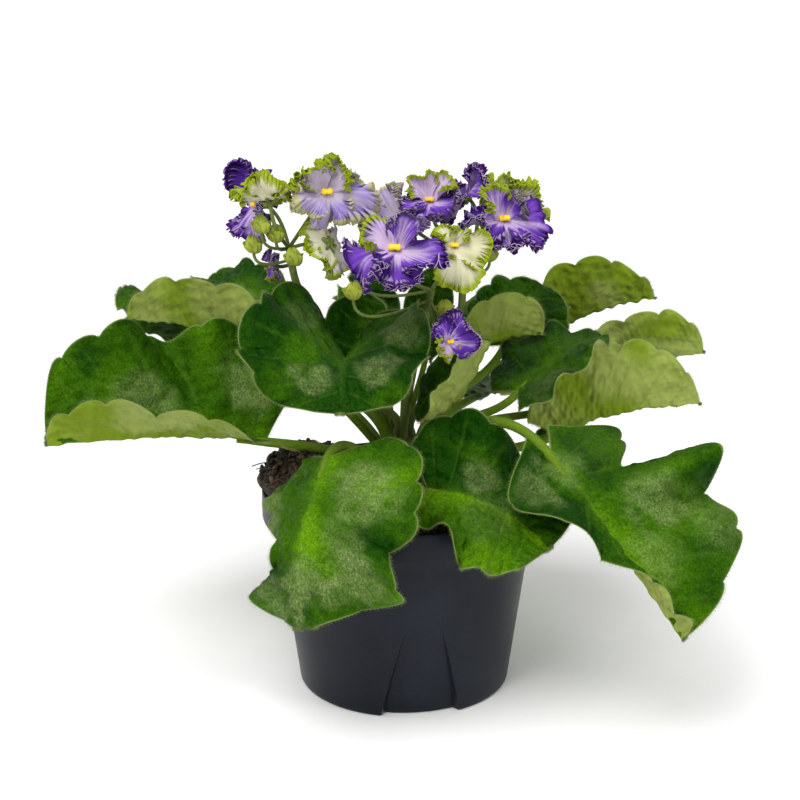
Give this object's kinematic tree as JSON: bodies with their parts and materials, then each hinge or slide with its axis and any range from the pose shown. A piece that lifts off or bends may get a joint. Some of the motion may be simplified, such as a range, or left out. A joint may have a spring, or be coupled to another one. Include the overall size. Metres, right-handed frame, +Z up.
{
  "type": "potted african violet",
  "caption": "Potted african violet: a rosette of broad hairy waved leaves and clusters of frilled violet and white blooms in a plain round nursery pot with a collar.",
  "frame": {"origin": "centre of the pot's underside, on the plane that it stands on", "axes": "+Z up, -Y to the front of the plant as pictured, +X to its right"},
  "size_m": [0.3027, 0.2392, 0.2441],
  "materials": {
    "pot_plastic": "satin moulded plastic, slightly scuffed",
    "soil": "loose dark peat with bark bits and fine roots",
    "leaf_green": "soft hairy deep green leaf, paler yellow-green below and along the edge",
    "stalk_green": "fleshy hairy light green stalk",
    "petal_violet": "soft petal, violet with pale middle and frilled edge",
    "petal_lilac": "soft petal, lilac and white with frilled edge",
    "petal_pale": "soft petal, greenish white with yellow-green frilled edge",
    "anther_yellow": "dull waxy yellow"
  },
  "bodies": {
    "root": {"pot": "pot_plastic", "soil": "soil", "crown": "stalk_green", "leaf_front_left": "leaf_green", "leaf_front_middle": "leaf_green", "leaf_front_right": "leaf_green", "leaf_left": "leaf_green", "leaf_right": "leaf_green", "leaf_upper_front": "leaf_green", "leaf_back_left": "leaf_green", "leaf_back": "leaf_green", "leaf_back_right": "leaf_green", "leaf_middle_right": "leaf_green", "leaf_high_right": "leaf_green", "leaf_far_right": "leaf_green", "leaf_high_left": "leaf_green", "leaf_far_left": "leaf_green", "leaf_behind_left": "leaf_green", "leaf_behind_right": "leaf_green", "leaf_inner_right": "leaf_green", "leaf_inner_front": "leaf_green", "leaf_heart_left": "leaf_green", "leaf_heart_back": "leaf_green", "leaf_heart_front": "leaf_green", "flower_stalk_left": "stalk_green", "flower_stalk_right": "stalk_green", "flower_stalk_front": "stalk_green", "bloom_left_outer": "petal_lilac", "anthers_left_outer": "anther_yellow", "bloom_left_cup": "petal_pale", "anthers_left_cup": "anther_yellow", "bloom_left_facing": "petal_lilac", "anthers_left_facing": "anther_yellow", "bloom_left_lower": "petal_pale", "anthers_left_lower": "anther_yellow", "bloom_left_small": "petal_violet", "anthers_left_small": "anther_yellow", "bloom_right_side": "petal_lilac", "anthers_right_side": "anther_yellow", "bloom_right_upper": "petal_violet", "anthers_right_upper": "anther_yellow", "bloom_right_tall": "petal_violet", "anthers_right_tall": "anther_yellow", "bloom_right_facing": "petal_violet", "anthers_right_facing": "anther_yellow", "bloom_right_back": "petal_pale", "anthers_right_back": "anther_yellow", "bloom_front_facing": "petal_violet", "anthers_front_facing": "anther_yellow", "bloom_front_green": "petal_pale", "anthers_front_green": "anther_yellow", "bloom_front_low": "petal_violet", "anthers_front_low": "anther_yellow"}
  },
  "joints": []
}
